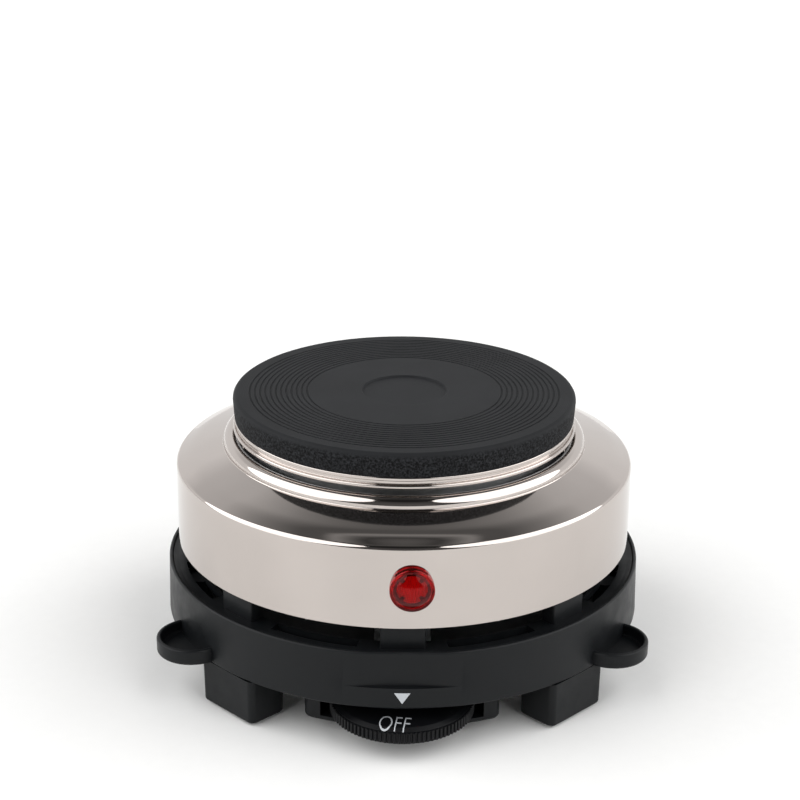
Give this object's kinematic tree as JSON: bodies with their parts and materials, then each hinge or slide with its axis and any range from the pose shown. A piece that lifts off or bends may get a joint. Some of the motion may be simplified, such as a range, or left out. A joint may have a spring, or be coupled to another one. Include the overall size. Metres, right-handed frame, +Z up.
{
  "type": "hot plate burner",
  "caption": "Small round table-top electric hot plate: ribbed thumb dial under a black base, polished drum with a red pilot lamp, grooved cast iron plate on top.",
  "frame": {"origin": "on the table, under the centre of the hot plate", "axes": "+Z up through the plate, -Y towards the front where the dial and the lamp are, +X to the right"},
  "size_m": [0.1394, 0.149, 0.0791],
  "materials": {
    "plate_iron": "heat-blackened cast iron, turned top, as-cast side",
    "drum_steel": "polished stainless sheet, satin side wall",
    "trim_steel": "bright rolled stainless ring",
    "base_black": "black moulded thermoset, fine satin",
    "cover_black": "black moulded thermoset, fine satin",
    "dial_black": "black moulded dial with ribbed edge",
    "lens_red": "clear red moulded lens",
    "lamp_red": "dark red lamp holder",
    "neon_glass": "small neon bulb",
    "plain_steel": "zinc plated steel",
    "galvanised": "bright coated sheet",
    "ceramic": "white steatite",
    "cement": "magnesia filling",
    "mica_board": "pressed mica board",
    "heater_wire": "coiled resistance wire",
    "brass": "turned brass",
    "blade_bronze": "spring bronze strip",
    "bimetal": "bimetal strip",
    "silver": "silver contact rivet",
    "pad_rubber": "soft black rubber",
    "lead_brown": "sleeved wire",
    "lead_black": "sleeved wire",
    "lead_blue": "sleeved wire",
    "lead_green": "sleeved wire",
    "lead_white": "glass sleeved wire",
    "gland_black": "black moulded gland"
  },
  "bodies": {
    "burner": {"hot_plate": "plate_iron", "insulating_cement": "cement", "heating_coil": "heater_wire", "heater_pins": "plain_steel", "pin_beads": "ceramic", "insulating_board": "mica_board", "trim_ring": "trim_steel", "support_pan": "galvanised", "stud_spacer": "plain_steel", "centre_stud": "plain_steel", "clamp_bar": "plain_steel", "stud_washer": "plain_steel", "stud_nut": "plain_steel", "heat_shield": "galvanised", "shield_nut": "plain_steel", "top_cover": "drum_steel", "lamp_lens": "lens_red", "lamp_body": "lamp_red", "lamp_clip": "plain_steel", "neon_bulb": "neon_glass", "lamp_leads": "lead_white", "base_ring": "base_black", "drum_screws": "plain_steel", "bottom_cover": "cover_black", "cover_screws": "plain_steel", "foot_pads": "pad_rubber", "spindle_bushing": "brass", "thermostat_frame": "plain_steel", "thermostat_screws": "plain_steel", "ceramic_stack": "ceramic", "stack_rivet": "plain_steel", "fixed_blade": "blade_bronze", "fixed_contact": "silver", "blade_tail": "blade_bronze", "bimetal_blade": "bimetal", "terminal_block": "ceramic", "terminal_screws": "brass", "live_lead": "lead_brown", "switched_lead": "lead_black", "neutral_lead": "lead_blue", "earth_lead": "lead_green", "earth_tag": "brass", "thermal_fuse": "lead_white", "cord_gland": "gland_black", "cord_clamp": "base_black", "clamp_screws": "plain_steel"},
    "dial": {"control_dial": "dial_black", "dial_spindle": "ceramic"},
    "adjuster": {"adjusting_screw": "brass"},
    "arm": {"contact_arm": "blade_bronze", "moving_contact": "silver", "push_pin": "ceramic"}
  },
  "joints": [
    {"name": "dial_turn", "type": "hinge", "parent": "burner", "child": "dial", "pos_m": [0, -0.0545, 0.008], "axis": [0, 0, 1], "range_deg": [0, 280]},
    {"name": "adjuster_travel", "type": "slide", "parent": "dial", "child": "adjuster", "axis": [0, 0, 1], "range_m": [-0.00082, 0]},
    {"name": "arm_bend", "type": "hinge", "parent": "burner", "child": "arm", "pos_m": [0, -0.0405, 0.03035], "axis": [1, 0, 0], "range_deg": [0, 3.3]}
  ],
  "couplings": [
    {"joint": "adjuster_travel", "follows": "dial_turn", "m_per_rad": -0.0001637},
    {"joint": "arm_bend", "follows": "dial_turn", "ratio": 0.011693}
  ]
}
